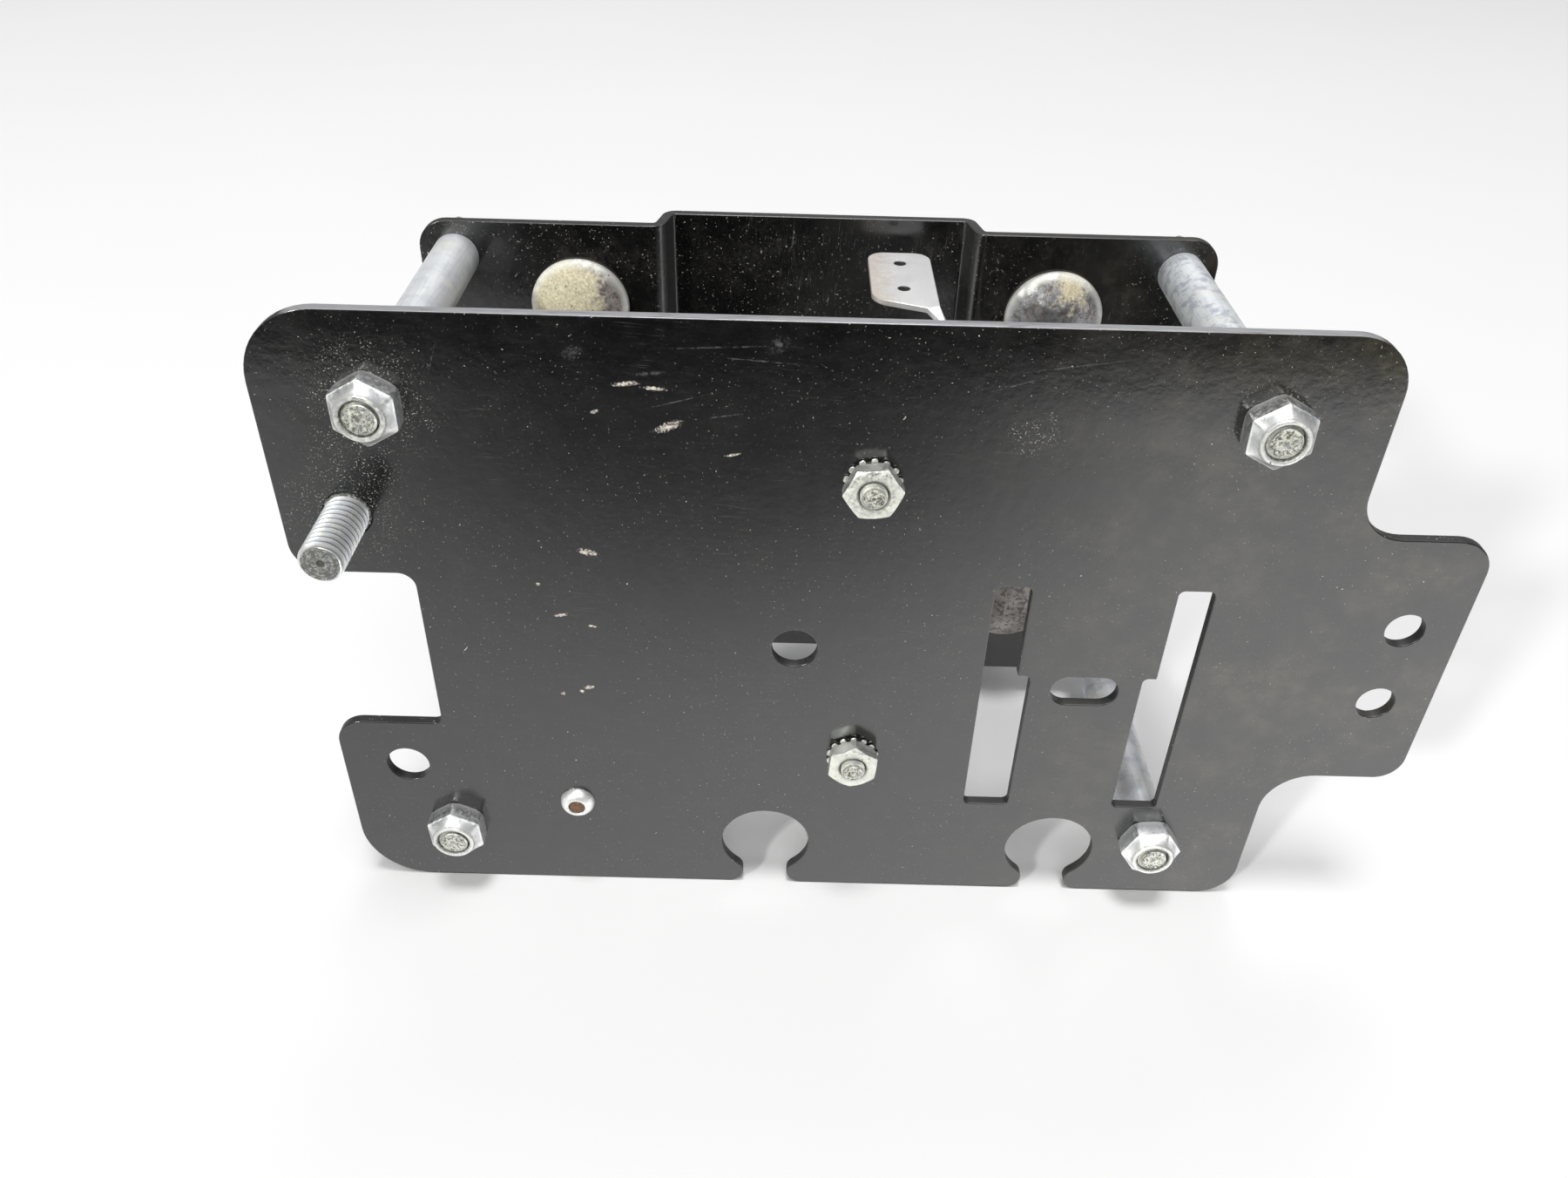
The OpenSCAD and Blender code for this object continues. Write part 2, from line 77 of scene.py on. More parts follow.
# Lights: name, place, diameter, power in watts and tint. All aim at LIT_POINT
LIT_POINT = (0.0, 0.03, -0.02)
LIGHTS = (
    ("ceiling", (-0.05, -0.36, 3.0), 0.8, 60.0, (1.0, 0.985, 1.0)),
    ("key", (-2.0, -2.33, 1.75), 0.3, 58.0, (0.97, 1.0, 0.95)),
    ("front", (0.3, -1.8, 2.6), 1.6, 28.0, (1.0, 1.0, 1.0)),
    ("back", (0.4, 1.8, 2.8), 1.6, 18.0, (1.0, 1.0, 1.0)),
)

# The camera's place in millimetres, its angles in degrees, and its lens
CAMERA_AT = (-2.995, -184.713, 150.936)
PITCH, YAW, ROLL = 36.503, 0.209, 1.590
FOCAL_LENGTH, SENSOR_WIDTH = 28.45, 36.0


# ---------------------------------------------------------------- material building

class Look:
    """One procedural material. Places are in millimetres, in the part's own frame."""

    def __init__(self, name):
        self.material = bpy.data.materials.new(name)
        self.material.use_nodes = True
        self.tree = self.material.node_tree
        self.shader = self.tree.nodes["Principled BSDF"]
        coords = self.node("ShaderNodeTexCoord")
        scale = self.node("ShaderNodeVectorMath", operation="SCALE")
        scale.inputs["Scale"].default_value = 1 / MM
        self.join(coords.outputs["Object"], scale.inputs[0])
        self.place = scale.outputs[0]
        self.x, self.y, self.z = self.split(self.place)
        self.nx, self.ny, self.nz = self.split(coords.outputs["Normal"])

    def node(self, kind, **settings):
        made = self.tree.nodes.new(kind)
        for key, value in settings.items():
            setattr(made, key, value)
        return made

    def join(self, source, target):
        if isinstance(source, (int, float, tuple)):
            target.default_value = source
        else:
            self.tree.links.new(source, target)

    def split(self, vector):
        made = self.node("ShaderNodeSeparateXYZ")
        self.join(vector, made.inputs[0])
        return made.outputs[0], made.outputs[1], made.outputs[2]

    def math(self, operation, *values):
        made = self.node("ShaderNodeMath", operation=operation)
        for value, target in zip(values, made.inputs):
            self.join(value, target)
        return made.outputs[0]

    def add(self, a, b):
        return self.math("ADD", a, b)

    def times(self, *values):
        total = values[0]
        for value in values[1:]:
            total = self.math("MULTIPLY", total, value)
        return total

    def most(self, *values):
        total = values[0]
        for value in values[1:]:
            total = self.math("MAXIMUM", total, value)
        return total

    def ramp(self, value, low, high, to_low=0.0, to_high=1.0):
        """Smooth step of value from low to high."""
        made = self.node("ShaderNodeMapRange", interpolation_type="SMOOTHSTEP")
        for target, number in zip(made.inputs[1:5], (low, high, to_low, to_high)):
            target.default_value = number
        self.join(value, made.inputs[0])
        return made.outputs[0]

    def mapped(self, at=(0, 0, 0), turn=(0, 0, 0), size=(1, 1, 1)):
        """Place measured in a frame that is moved, turned (degrees) and stretched."""
        made = self.node("ShaderNodeMapping", vector_type="TEXTURE")
        made.inputs["Location"].default_value = at
        made.inputs["Rotation"].default_value = [math.radians(angle) for angle in turn]
        made.inputs["Scale"].default_value = size
        self.join(self.place, made.inputs["Vector"])
        return made.outputs[0]

    def noise(self, size, detail=2.0, rough=0.5, place=None, twist=0.0):
        """Noise from 0 to 1 whose features are about size millimetres across."""
        made = self.node("ShaderNodeTexNoise")
        made.inputs["Scale"].default_value = 1 / size
        made.inputs["Detail"].default_value = detail
        made.inputs["Roughness"].default_value = rough
        made.inputs["Distortion"].default_value = twist
        self.join(place or self.place, made.inputs["Vector"])
        return made.outputs["Fac"]

    def shaken(self, amount, size, place=None):
        """Place moved about by noise, by up to about amount millimetres."""
        wave = self.node("ShaderNodeTexNoise")
        wave.inputs["Scale"].default_value = 1 / size
        self.join(self.place, wave.inputs["Vector"])
        shift = self.node("ShaderNodeVectorMath", operation="MULTIPLY_ADD")
        self.join(wave.outputs["Color"], shift.inputs[0])
        shift.inputs[1].default_value = (2 * amount,) * 3
        self.join(place or self.place, shift.inputs[2])
        return shift.outputs[0]

    def specks(self, size, share, radius=0.3, place=None):
        """Specks of mixed sizes: cells are size millimetres apart, share sets how many of them show one,
        and radius is the largest speck's, in millimetres."""
        made = self.node("ShaderNodeTexVoronoi")
        made.inputs["Scale"].default_value = 1 / size
        self.join(place or self.shaken(0.5 * radius, 0.8 * radius), made.inputs["Vector"])
        chance = self.split(made.outputs["Color"])[0]
        reach = self.ramp(chance, 1 - share, 1.0, 0.0, radius / size)
        return self.ramp(self.math("SUBTRACT", reach, made.outputs["Distance"]), 0.0, 0.35 * radius / size)

    def grit(self, size, low, high):
        """Ragged specks: the peaks of a fine noise between low and high."""
        return self.ramp(self.noise(size, 3.0, 0.75), low, high)

    def distance(self, at, size=(1, 1e6, 1)):
        """Distance from a point; the size of 1e6 leaves one direction out, by default Y."""
        made = self.node("ShaderNodeVectorMath", operation="LENGTH")
        self.join(self.mapped(at, size=size), made.inputs[0])
        return made.outputs["Value"]

    def mix(self, share, first, second):
        made = self.node("ShaderNodeMix", data_type="RGBA")
        self.join(share, made.inputs[0])
        for value, target in ((first, made.inputs[6]), (second, made.inputs[7])):
            self.join(value + (1.0,) if isinstance(value, tuple) else value, target)
        return made.outputs[2]

    def blend(self, share, first, second):
        made = self.node("ShaderNodeMix", data_type="FLOAT")
        for value, target in zip((share, first, second), made.inputs[0:1] + made.inputs[2:4]):
            self.join(value, target)
        return made.outputs[0]

    def attribute(self, name):
        return self.node("ShaderNodeAttribute", attribute_name=name).outputs["Fac"]

    def finish(self, colour, rough, metal, height, depth, specular=0.5):
        """Links the results; height from 0 to 1 stands depth millimetres out of the surface."""
        self.join(colour, self.shader.inputs["Base Color"])
        self.join(rough, self.shader.inputs["Roughness"])
        self.join(metal, self.shader.inputs["Metallic"])
        self.shader.inputs["Specular IOR Level"].default_value = specular
        bump = self.node("ShaderNodeBump")
        bump.inputs["Distance"].default_value = depth * MM
        self.join(height, bump.inputs["Height"])
        self.join(bump.outputs[0], self.shader.inputs["Normal"])
        return self.material


# Bare-metal chips on the front plate: place (x, z), half length, half width, slant in degrees
CHIPS = (
    ((-29.5, 55.6), 2.4, 0.45, 6), ((-24.8, 54.9), 2.1, 0.4, -4), ((-35.0, 50.3), 0.8, 0.35, 20),
    ((-22.7, 47.8), 2.6, 0.8, 24), ((-11.7, 42.6), 1.4, 0.3, 12), ((-38.2, 21.4), 1.9, 0.7, -12),
    ((-48.0, 13.9), 0.5, 0.4, 0), ((-44.3, 6.8), 1.5, 0.4, 10), ((-38.5, 4.3), 0.9, 0.3, -8),
    ((-40.2, -11.1), 1.1, 0.5, 15), ((-41.7, -12.2), 0.7, 0.4, 0), ((-45.5, -12.9), 0.5, 0.4, 30),
    ((-11.3, -60.1), 1.3, 0.6, 50),
)


# Faint scuffs on the front plate, given the same way
SCUFFS = (
    ((-14.0, 62.6), 7.5, 0.16, 3), ((-7.5, 60.4), 6.5, 0.14, -4), ((-4.0, 63.4), 1.6, 1.1, 40),
    ((-21.0, 52.6), 4.5, 0.12, 16), ((-25.5, 57.6), 2.2, 0.35, 8), ((-13.5, 50.0), 3.0, 0.14, 10),
    ((-61.0, 59.5), 2.6, 0.14, 70), ((-70.5, 56.0), 1.8, 0.13, 80), ((44.0, 60.8), 6.5, 0.16, 9),
    ((36.0, 57.5), 4.0, 0.13, 18), ((-38.0, 61.0), 1.5, 0.9, 20),
)


def marks_mask(look, marks, edge):
    """Ragged patches on the front face only, with a softer outline as edge rises."""
    nearest = 10.0
    for (x, z), half_length, half_width, slant in marks:
        length = look.node("ShaderNodeVectorMath", operation="LENGTH")
        local = look.mapped((x, 0, z), (0, -slant, 0), (half_length, 3.0, half_width))
        look.join(local, length.inputs[0])
        nearest = look.math("MINIMUM", length.outputs["Value"], nearest)
    ragged = look.add(nearest, look.times(look.noise(0.45, 5.0, 0.8), 3.4))
    return look.times(look.ramp(ragged, 2.5 + edge, 2.5 - edge), look.ramp(look.ny, -0.3, -0.6))


def worn_edge_and_sheen_mask(look, top):
    """Paint rubbed off the upward edge between the rounded corners, made pale also as a painted sheen where
    the top edge catches light.
    """
    upward = look.ramp(look.nz, 0.55, 0.97)
    at_top = look.ramp(look.z, top - 1.4, top - 0.4)
    streaks = look.noise(1.0, 4.0, 0.7, look.mapped(size=(7.0, 0.35, 1.0)))
    return look.times(upward, at_top, look.ramp(streaks, 0.2, 0.55))


def settled_dust(look, dusty_at):
    """Pale specks: lint and dots all over, and fine grit round each place (x, z) out to its reach."""
    slanted = look.mapped(turn=(0, 35, 0), size=(0.6, 1, 2.6))
    lint = look.times(look.specks(6.0, 0.3, 0.22, look.shaken(0.6, 1.5, slanted)), 0.7)
    dotted = look.times(look.grit(0.55, 0.655, 0.70), look.ramp(look.noise(24.0), 0.34, 0.58))
    fine = look.grit(0.40, 0.585, 0.64)
    near = 0.0
    frayed = look.noise(4.5, 3.0, 0.6)
    for at, reach in dusty_at:
        away = look.add(look.distance((at[0], 0, at[1])), look.times(frayed, reach))
        near = look.most(near, look.ramp(away, reach * 1.45, reach * 0.8))
    clumped = look.times(near, look.ramp(look.noise(2.2, 3.0), 0.36, 0.60))
    sparse = look.times(look.specks(2.6, 0.2, 0.20), look.ramp(look.noise(12.0), 0.42, 0.66))
    return look.most(dotted, lint, look.times(fine, clumped), look.times(sparse, 0.7))


def black_paint(name, dusty_at=(), worn_top=None, chipped=False, dust=0.4, streak=(9.0, 1.0, 0.30)):
    """Semi-gloss black paint with orange peel, faint smears and pale dust. worn_top is the height of an
    upward edge rubbed to metal and painted pale as a sheen, dust the strength of the grey film, streak the
    stretch of the hair lines."""
    look = Look(name)
    cloud = look.noise(26.0, 3.0)
    smear = look.noise(7.0, 4.0, 0.6, look.mapped(turn=(0, 12, 0), size=(3.0, 1.0, 0.9)))
    tone = look.mix(cloud, (0.003, 0.003, 0.0036), (0.0055, 0.005, 0.0048))
    warm = look.times(look.ramp(look.x, 20.0, 90.0), look.ramp(look.noise(17.0, 4.0, 0.6), 0.38, 0.68))
    patches = look.ramp(look.noise(5.0, 5.0, 0.7), 0.40, 0.70)
    tone = look.mix(look.times(warm, look.add(0.3, patches)), tone, (0.046, 0.041, 0.025))
    tone = look.mix(look.times(patches, 0.28), tone, (0.020, 0.019, 0.018))
    hairs = look.noise(1.0, 3.0, 0.7, look.mapped(turn=(0, 4, 0), size=streak))
    scuffed = look.times(look.ramp(hairs, 0.58, 0.72), look.ramp(look.noise(16.0, 3.0), 0.45, 0.7))
    tone = look.mix(look.times(scuffed, 0.6), tone, (0.09, 0.09, 0.085))
    film = look.times(look.ramp(look.noise(11.0, 5.0, 0.65), 0.35, 0.85), dust)
    tone = look.mix(look.times(film, look.grit(0.6, 0.42, 0.70), 0.13), tone, (0.22, 0.21, 0.18))
    pale = settled_dust(look, dusty_at)
    tone = look.mix(pale, tone, (0.74, 0.71, 0.62))
    cut_edge = look.ramp(look.math("ABSOLUTE", look.ny), 0.8, 0.5)
    rough = look.blend(look.ramp(smear, 0.4, 0.8), 0.11, 0.19)
    rough = look.add(rough, look.times(look.noise(1.6, 4.0, 0.7), 0.05))
    rough = look.blend(look.times(film, 0.5), rough, 0.45)
    rough = look.blend(look.most(pale, look.times(scuffed, 0.5), cut_edge), rough, 0.55)
    peel = look.add(look.times(look.noise(2.4, 2.0), 0.8), look.times(look.noise(1.0, 3.0, 0.6), 0.32))
    height = look.add(peel, look.times(pale, 0.6))
    metal = 0.0
    if worn_top is not None:
        worn_and_sheen = worn_edge_and_sheen_mask(look, worn_top)
        scratches = look.noise(0.8, 4.0, 0.7, look.mapped(size=(8, 0.4, 1)))
        # Bare metal on the rubbed top edge, also made pale as a painted sheen.
        tone = look.mix(worn_and_sheen, tone, look.mix(scratches, (0.26, 0.26, 0.27), (0.56, 0.56, 0.57)))
        rough = look.blend(worn_and_sheen, rough, 0.42)
        metal = look.times(worn_and_sheen, 0.5)
    if chipped:
        broken = look.ramp(look.noise(1.3, 4.0, 0.7), 0.38, 0.62)
        faint = look.times(marks_mask(look, SCUFFS, 0.6), broken, 0.4)
        tone = look.mix(faint, tone, (0.24, 0.24, 0.25))
        bare = marks_mask(look, CHIPS, 0.1)
        scraped = look.ramp(look.noise(0.6, 4.0, 0.7), 0.40, 0.58)
        tone = look.mix(bare, tone, look.mix(scraped, (0.13, 0.09, 0.065), (0.88, 0.82, 0.73)))
        rough = look.blend(bare, rough, 0.5)
        metal = look.most(metal, look.times(bare, 0.4))
        height = look.math("SUBTRACT", height, look.times(bare, 1.5))
    return look.finish(tone, rough, metal, height, 0.036, specular=1.0)


def zinc(name, bright, shade, dirt, dirt_share, rough_low, rough_high, groove=0.15, soil=0.1):
    """Zinc plate: blotchy metal, pale dirt on the faces that look forwards, grime with painted shade in the
    grooves, and painted shade underneath. More groove leaves the grooves cleaner; more soil darkens the ends
    that look forwards."""
    look = Look(name)
    blotch = look.ramp(look.noise(2.4, 4.0, 0.6), 0.35, 0.7)
    metal_tone = look.mix(blotch, bright, shade)
    forward = look.ramp(look.ny, -0.45, -0.95)
    spots = look.ramp(look.noise(0.7, 4.0, 0.7), 0.62 - dirt_share * 0.3, 0.78)
    pale = look.times(spots, look.add(0.35, forward))
    streaks = look.noise(0.9, 4.0, 0.75, twist=1.5)
    # Grime with painted shade in the hollows: bores and thread roots darkened, broken up by streaks.
    dark = look.times(look.attribute("hollow_grime_and_shade"), look.ramp(streaks, groove, groove + 0.45))
    facing = look.ramp(look.ny, -0.85, -0.96)
    soiled = look.times(facing, look.ramp(look.noise(0.9, 5.0, 0.75, twist=1.5), 0.68 - soil, 0.76 - soil))
    # Painted shade: faces that look down are darkened as if in shadow.
    painted_underside_shade = look.ramp(look.nz, -0.50, -0.85)
    dark = look.most(dark, look.times(soiled, 0.95), look.times(painted_underside_shade, 0.85))
    pits = look.times(look.specks(0.8, 0.25, 0.2), 0.7)
    tone = look.mix(look.math("MINIMUM", pale, 1.0), metal_tone, dirt)
    tone = look.mix(look.most(dark, look.times(pits, 0.6)), tone, (0.075, 0.072, 0.055))
    metal = look.math("SUBTRACT", 1.0, look.math("MINIMUM", look.most(look.times(pale, 0.85), dark), 1.0))
    rough = look.blend(blotch, rough_low, rough_high)
    rough = look.blend(look.math("MINIMUM", look.most(pale, dark), 1.0), rough, 0.7)
    height = look.add(look.times(look.noise(0.5, 4.0), 0.6), look.times(pale, 0.4))
    height = look.math("SUBTRACT", height, look.times(pits, 0.5))
    return look.finish(tone, rough, metal, height, 0.03)


def corroded(name, centre, head_back, crust_towards, crust_share, crust_tone, metal_tone):
    """Zinc dome with a crust that is thickest on one side and a pale rim; the shank keeps its plate."""
    look = Look(name)
    away = look.distance((centre[0], 0, centre[1]))
    side = look.distance((centre[0] + crust_towards[0], 0, centre[1] + crust_towards[1]))
    ragged = look.add(look.times(side, 0.05), look.times(look.noise(3.2, 6.0, 0.75), 0.9))
    on_head = look.ramp(look.y, head_back + 0.5, head_back)
    crust = look.times(look.ramp(ragged, 0.45 + crust_share, 0.25 + crust_share), on_head)
    grains = look.ramp(look.noise(0.55, 4.0, 0.75), 0.35, 0.65)
    rim = look.ramp(away, 8.6, 10.2)
    cloud = look.ramp(look.noise(4.0, 4.0), 0.3, 0.7)
    tone = look.mix(cloud, metal_tone, tuple(0.55 * c for c in metal_tone))
    tone = look.mix(crust, tone, look.mix(grains, crust_tone, tuple(0.62 * c for c in crust_tone)))
    burnt = look.times(look.ramp(ragged, 0.30 + crust_share, 0.42 + crust_share), look.grit(1.1, 0.48, 0.60))
    burnt = look.times(burnt, on_head)
    tone = look.mix(look.times(burnt, 0.7), tone, (0.10, 0.075, 0.055))
    tone = look.mix(look.times(rim, 0.7), tone, (0.80, 0.80, 0.74))
    # Grime with painted shade in the hollows under and round the head.
    dark = look.times(look.attribute("hollow_grime_and_shade"), 0.8)
    pits = look.times(look.specks(1.1, 0.2, 0.28), 0.7)
    tone = look.mix(look.most(dark, pits), tone, (0.09, 0.075, 0.055))
    covered = look.most(crust, dark)
    metal = look.blend(covered, 0.6, 0.05)
    rough = look.blend(covered, look.blend(grains, 0.36, 0.5), 0.75)
    crumbs = look.times(crust, look.add(0.5, look.times(grains, 0.6)))
    height = look.add(crumbs, look.times(look.noise(0.4), 0.2))
    return look.finish(tone, rough, metal, height, 0.08)


def drawn_tube(name, stained):
    """Bluish zinc tube with faint marks along its length and dull patches; stained from 0 to 1."""
    look = Look(name)
    marks = look.noise(1.0, 3.0, 0.6, look.mapped(size=(0.35, 14.0, 0.35)))
    cloud = look.noise(5.0, 4.0)
    tone = look.mix(cloud, (0.74, 0.77, 0.80), (0.90, 0.91, 0.90))
    tone = look.mix(look.times(look.ramp(marks, 0.45, 0.7), 0.25), tone, (0.38, 0.42, 0.49))
    stain = look.times(look.ramp(look.noise(3.2, 5.0, 0.65), 0.46, 0.62), stained)
    tone = look.mix(stain, tone, (0.40, 0.44, 0.51))
    tone = look.mix(look.times(look.ramp(look.noise(7.0, 3.0), 0.50, 0.72), 0.4), tone, (0.80, 0.76, 0.66))
    white = look.ramp(look.noise(1.2, 5.0, 0.7), 0.58, 0.72)
    white = look.times(white, look.ramp(look.noise(9.0), 0.45, 0.6))
    tone = look.mix(white, tone, (0.82, 0.83, 0.80))
    # Grime with painted shade in the bore and at the ends.
    tone = look.mix(look.times(look.attribute("hollow_grime_and_shade"), 0.8), tone, (0.10, 0.10, 0.09))
    rough = look.blend(cloud, 0.46, 0.58)
    rough = look.blend(white, rough, 0.75)
    metal = look.blend(white, 0.6, 0.1)
    return look.finish(tone, rough, metal, look.add(marks, look.times(white, 0.4)), 0.02)


def bright_aluminium(name):
    """Bright rivet dome with fine scuffs, grime with painted shade in its mouth, and painted shade on the
    faces that look down.
    """
    look = Look(name)
    scuff = look.noise(0.8, 4.0, 0.6, look.mapped(turn=(0, 30, 0), size=(2.0, 1.0, 0.5)))
    tone = look.mix(look.ramp(scuff, 0.4, 0.75), (0.91, 0.91, 0.90), (0.72, 0.72, 0.71))
    # Grime with painted shade in the mouth.
    tone = look.mix(look.times(look.attribute("hollow_grime_and_shade"), 0.75), tone, (0.16, 0.13, 0.10))
    # Painted shade: faces that look down are darkened as if in shadow.
    tone = look.mix(look.times(look.ramp(look.nz, -0.35, -0.75), 0.85), tone, (0.05, 0.045, 0.04))
    rough = look.blend(scuff, 0.34, 0.5)
    return look.finish(tone, rough, 0.8, scuff, 0.012)


def rusted(name):
    """Brown surface rust on a broken steel pin."""
    look = Look(name)
    grain = look.noise(0.35, 5.0, 0.7)
    tone = look.mix(look.ramp(grain, 0.3, 0.7), (0.07, 0.035, 0.02), (0.27, 0.15, 0.085))
    tone = look.mix(look.specks(0.5, 0.3, 0.15), tone, (0.45, 0.32, 0.22))
    return look.finish(tone, look.blend(grain, 0.62, 0.88), 0.2, grain, 0.08)


def pale_plate(name, stain_at, shaded_holes_at):
    """Satin pale plate on a bent clip, with brown smudges at one edge and painted shade inside the holes at
    (x, y).
    """
    look = Look(name)
    cloud = look.noise(6.0, 4.0)
    brushed = look.noise(1.0, 3.0, 0.6, look.mapped(size=(0.3, 6.0, 3.0)))
    tone = look.mix(cloud, (0.70, 0.70, 0.70), (0.80, 0.80, 0.79))
    tone = look.mix(look.times(look.ramp(brushed, 0.55, 0.8), 0.4), tone, (0.52, 0.53, 0.55))
    away = look.times(look.distance((stain_at[0], 0, stain_at[1])), 0.09)
    stain = look.ramp(look.add(away, look.noise(1.6, 4.0, 0.7)), 0.98, 0.55)
    tone = look.mix(look.times(stain, 0.6), tone, (0.42, 0.34, 0.25))
    tone = look.mix(look.times(look.specks(1.4, 0.14, 0.2), 0.6), tone, (0.25, 0.22, 0.18))
    for x, y in shaded_holes_at:
        # Painted shade: near-black discs where the holes are.
        inside = look.ramp(look.distance((x, y, 0), (1, 1, 1e6)), 1.45, 1.15)
        tone = look.mix(look.times(inside, 0.92), tone, (0.02, 0.02, 0.02))
    rough = look.blend(cloud, 0.36, 0.5)
    metal = look.blend(stain, 0.6, 0.3)
    return look.finish(tone, rough, metal, brushed, 0.015)


def pale_floor():
    look = Look("pale_floor")
    cloud = look.noise(160.0, 3.0)
    tone = look.mix(cloud, (0.722, 0.722, 0.722), (0.747, 0.744, 0.744))
    return look.finish(tone, look.blend(cloud, 0.5, 0.6), 0.0, look.noise(4.0), 0.01, specular=0.0)


# ---------------------------------------------------------------- mesh building

class Shell:
    """A closed mesh made of rows of points round an axis along +Y. Radii and heights are in millimetres."""

    def __init__(self, count, turn=0.0):
        self.count = count
        self.turns = math.radians(turn) - np.arange(count) * 2 * math.pi / count
        self.points = []
        self.hollow_grime_and_shade = []
        self.faces = []

    def radius_of(self, radius):
        return radius(self.turns) if callable(radius) else np.full(self.count, float(radius))

    def put(self, radius, height, hollow_grime_and_shade):
        """Adds one row; height may be one number or one for each point."""
        heights = np.broadcast_to(height, self.count)
        start = len(self.points)
        for r, h, a in zip(self.radius_of(radius), heights, self.turns):
            self.points.append((r * math.cos(a), h, r * math.sin(a)))
            self.hollow_grime_and_shade.append(hollow_grime_and_shade)
        return start

    def band(self, first, second):
        """Joins two rows with quads."""
        for j in range(self.count):
            k = (j + 1) % self.count
            self.faces.append((first + j, first + k, second + k, second + j))

    def rows(self, profile, closed=False):
        """profile is a list of (radius, height, hollow_grime_and_shade), the last being grime with painted
        shade in hollows; closed joins the last row to the first.
        """
        starts = [self.put(*row) for row in profile]
        for first, second in zip(starts, starts[1:]):
            self.band(first, second)
        if closed:
            self.band(starts[-1], starts[0])

    def thread(self, low, high, radius, pitch, limit):
        """Right-hand 60 degree thread from height low to high; limit(h) caps the radius at height h."""
        depth = 0.6134 * pitch
        steps = (
            (0, 1), (0.0625, 1), (0.125, 1), (0.28, 0.5), (0.4375, 0), (0.5625, 0), (0.6875, 0), (0.84, 0.5),
        )
        per_turn = len(steps)
        total = per_turn * (math.ceil((high - low) / pitch) + 2)
        starts = []
        for k in range(-per_turn, total):
            phase, crest = steps[k % per_turn]
            wanted = low + pitch * (phase + k // per_turn + np.arange(self.count) / self.count)
            heights = np.clip(wanted, low, high)
            radii = np.minimum(radius - depth * (1 - crest), limit(heights))
            # Thread roots carry grime with painted shade.
            starts.append(self.put(lambda _, r=radii: r, heights, 0.85 * (1 - crest)))
        last = len(starts) - 1
        for k in range(last):
            ahead = starts[min(k + per_turn, last)] - starts[k]
            beyond = starts[min(k + 1 + per_turn, last)] - starts[k + 1]
            for j in range(self.count):
                wrap = j == self.count - 1
                near = starts[k] + (ahead if wrap else j + 1)
                far = starts[k + 1] + (beyond if wrap else j + 1)
                self.faces.append((starts[k] + j, near, far, starts[k + 1] + j))

    def build(self, name, axis, start, sharp=32):
        """Stands the shell at axis = (x, z) with its height 0 at y = start, all in metres."""
        mesh = bpy.data.meshes.new(name)
        points = np.array(self.points) * MM + np.array((axis[0], start, axis[1]))
        mesh.from_pydata([tuple(p) for p in points], [], self.faces)
        # Per-point grime with painted shade in the hollows: bores, thread roots and under heads.
        layer = mesh.attributes.new("hollow_grime_and_shade", "FLOAT", "POINT")
        layer.data.foreach_set("value", np.array(self.hollow_grime_and_shade, np.float32))
        return closed_up(mesh, name, sharp)


def closed_up(mesh, name, sharp):
    """Merges points that coincide, drops empty faces, and sets the shading."""
    work = bmesh.new()
    work.from_mesh(mesh)
    bmesh.ops.remove_doubles(work, verts=work.verts, dist=2e-6)
    bmesh.ops.dissolve_degenerate(work, dist=1e-6, edges=work.edges)
    bmesh.ops.recalc_face_normals(work, faces=work.faces)
    work.to_mesh(mesh)
    work.free()
    mesh.polygons.foreach_set("use_smooth", [True] * len(mesh.polygons))
    mesh.set_sharp_from_angle(angle=math.radians(sharp))
    piece = bpy.data.objects.new(name, mesh)
    bpy.context.scene.collection.objects.link(piece)
    return piece


def hexagon(flats, corner_cut=0.985):
    """Radius of a hexagon that is flats across, with its corners slightly cut."""
    point = flats / 2 / math.cos(math.pi / 6)

    def radius(turns, size=1.0):
        turn = turns[0]
        local = np.mod(turns - turn, math.pi / 3) - math.pi / 6
        return size * np.minimum(flats / 2 / np.cos(local), point * corner_cut)

    return radius


def chamfered(shape, cone):
    """The shape's radius where it is inside a cone of radius cone at that height."""
    return lambda turns: np.minimum(shape(turns), cone)


def square_section(side):
    """Radius of a square, with its corners slightly cut."""
    def radius(turns):
        flats = side / 2 / np.maximum(np.abs(np.cos(turns)), np.abs(np.sin(turns)))
        return np.minimum(flats, 0.93 * side / math.sqrt(2))

    return radius


def roughen(piece, amount, size, seed, where=None):
    """Moves points along their normals by a fixed noise, amount and size in millimetres."""
    mesh = piece.data
    normals = [vertex.normal.copy() for vertex in mesh.vertices]
    for vertex, normal in zip(mesh.vertices, normals):
        if where and not where(vertex.co):
            continue
        sample = vertex.co / (size * MM) + Vector((seed, 0, 0))
        vertex.co += normal * noise.fractal(sample, 0.8, 2.0, 3) * amount * MM


def axis_of(node):
    low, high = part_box(node)
    return (low.x + high.x) / 2, (low.z + high.z) / 2


def span_of(node):
    """Front and back of a node along Y, in metres."""
    low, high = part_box(node)
    return low.y, high.y


def place(piece, node, material):
    """The piece stands for the CAD node, which it hides, and wears the given material."""
    piece.data.materials.clear()
    piece.data.materials.append(material)
    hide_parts(node)
    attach(piece, "root")
    return piece


